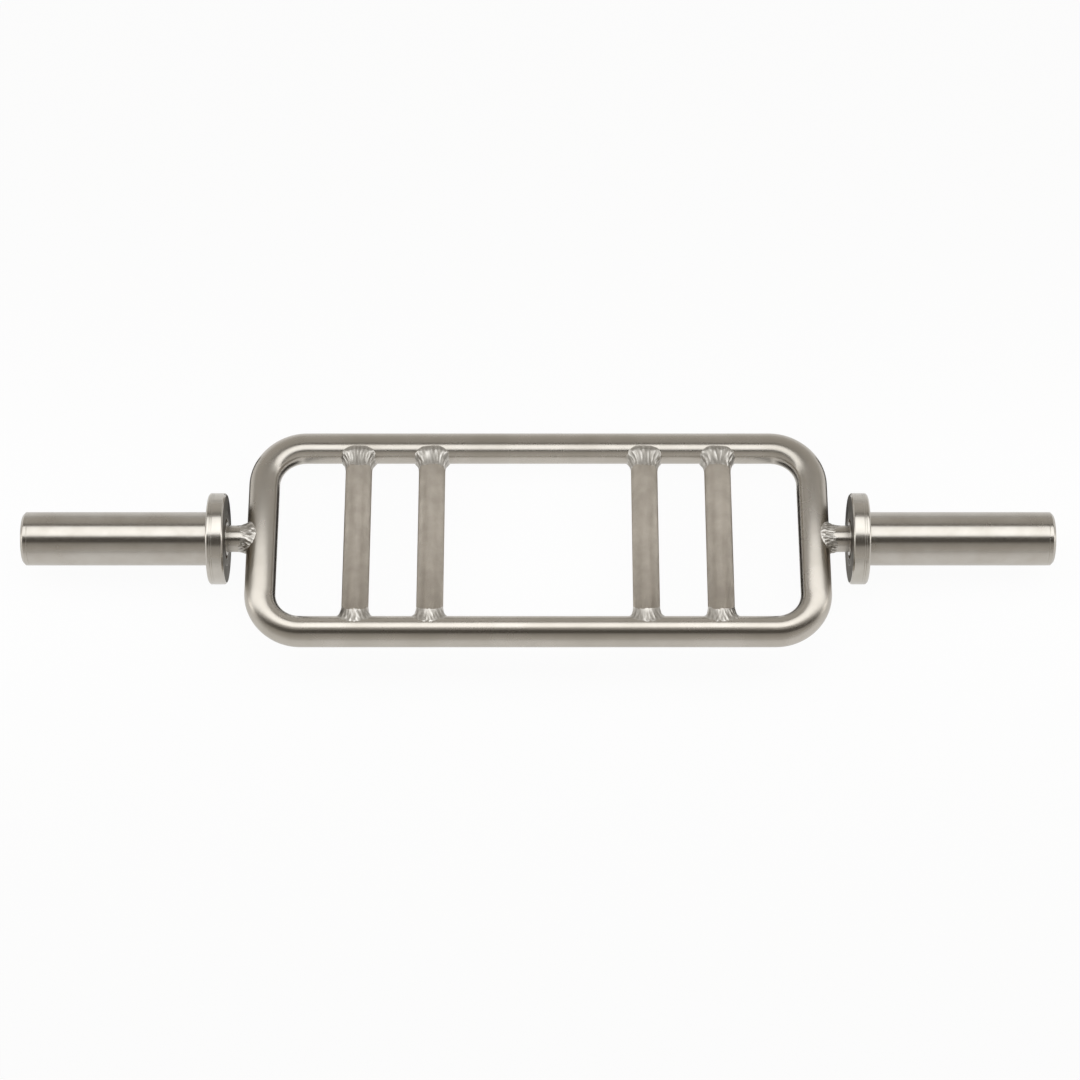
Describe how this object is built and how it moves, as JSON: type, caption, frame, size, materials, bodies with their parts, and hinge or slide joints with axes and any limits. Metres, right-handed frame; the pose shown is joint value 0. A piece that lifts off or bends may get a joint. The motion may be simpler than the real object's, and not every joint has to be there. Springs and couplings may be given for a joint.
{
  "type": "triceps bar",
  "caption": "Loading bar with revolving sleeves at its ends and a closed rounded frame of tube between them, crossed by parallel hand grips.",
  "frame": {"origin": "middle of the bar, on the axis of its revolving sleeves", "axes": "+X along the bar from the left sleeve to the right one, the hand frame lies in the XY plane, +Z is square to the frame"},
  "size_m": [0.9618, 0.2198, 0.0854],
  "materials": {
    "frame_tube": "satin nickel plate over steel tube",
    "grips": "fine knurl under satin nickel plate",
    "welds": "rippled weld bead under nickel plate",
    "spindles": "ground round bar, satin nickel plate",
    "thrust_rings": "turned steel",
    "thrust_washers": "zinc plated steel",
    "snap_rings": "phosphated spring steel",
    "sleeves": "turned and satin nickel plated steel tube",
    "collars": "turned and satin nickel plated steel disc",
    "bushes": "bearing bronze, turned",
    "end_caps": "turned steel, satin nickel plate"
  },
  "bodies": {
    "frame": {"frame_half_left": "frame_tube", "frame_half_right": "frame_tube", "grip_outer_left": "grips", "grip_inner_left": "grips", "grip_inner_right": "grips", "grip_outer_right": "grips", "grip_weld_outer_left_rear": "welds", "grip_weld_outer_left_front": "welds", "grip_weld_inner_left_rear": "welds", "grip_weld_inner_left_front": "welds", "grip_weld_inner_right_rear": "welds", "grip_weld_inner_right_front": "welds", "grip_weld_outer_right_rear": "welds", "grip_weld_outer_right_front": "welds", "spindle_left": "spindles", "spindle_right": "spindles", "spindle_weld_left": "welds", "spindle_weld_right": "welds", "thrust_ring_left": "thrust_rings", "thrust_ring_right": "thrust_rings", "thrust_washer_left": "thrust_washers", "thrust_washer_right": "thrust_washers", "spindle_clip_left": "snap_rings", "spindle_clip_right": "snap_rings"},
    "left_sleeve": {"sleeve_tube_left": "sleeves", "sleeve_collar_left": "collars", "bush_inner_left": "bushes", "bush_outer_left": "bushes", "end_cap_left": "end_caps", "end_cap_clip_left": "snap_rings"},
    "right_sleeve": {"sleeve_tube_right": "sleeves", "sleeve_collar_right": "collars", "bush_inner_right": "bushes", "bush_outer_right": "bushes", "end_cap_right": "end_caps", "end_cap_clip_right": "snap_rings"}
  },
  "joints": [
    {"name": "left_sleeve_spin", "type": "hinge", "parent": "frame", "child": "left_sleeve", "pos_m": [-0.386, 0, 0], "axis": [1, 0, 0], "continuous": true},
    {"name": "right_sleeve_spin", "type": "hinge", "parent": "frame", "child": "right_sleeve", "pos_m": [0.386, 0, 0], "axis": [1, 0, 0], "continuous": true}
  ]
}
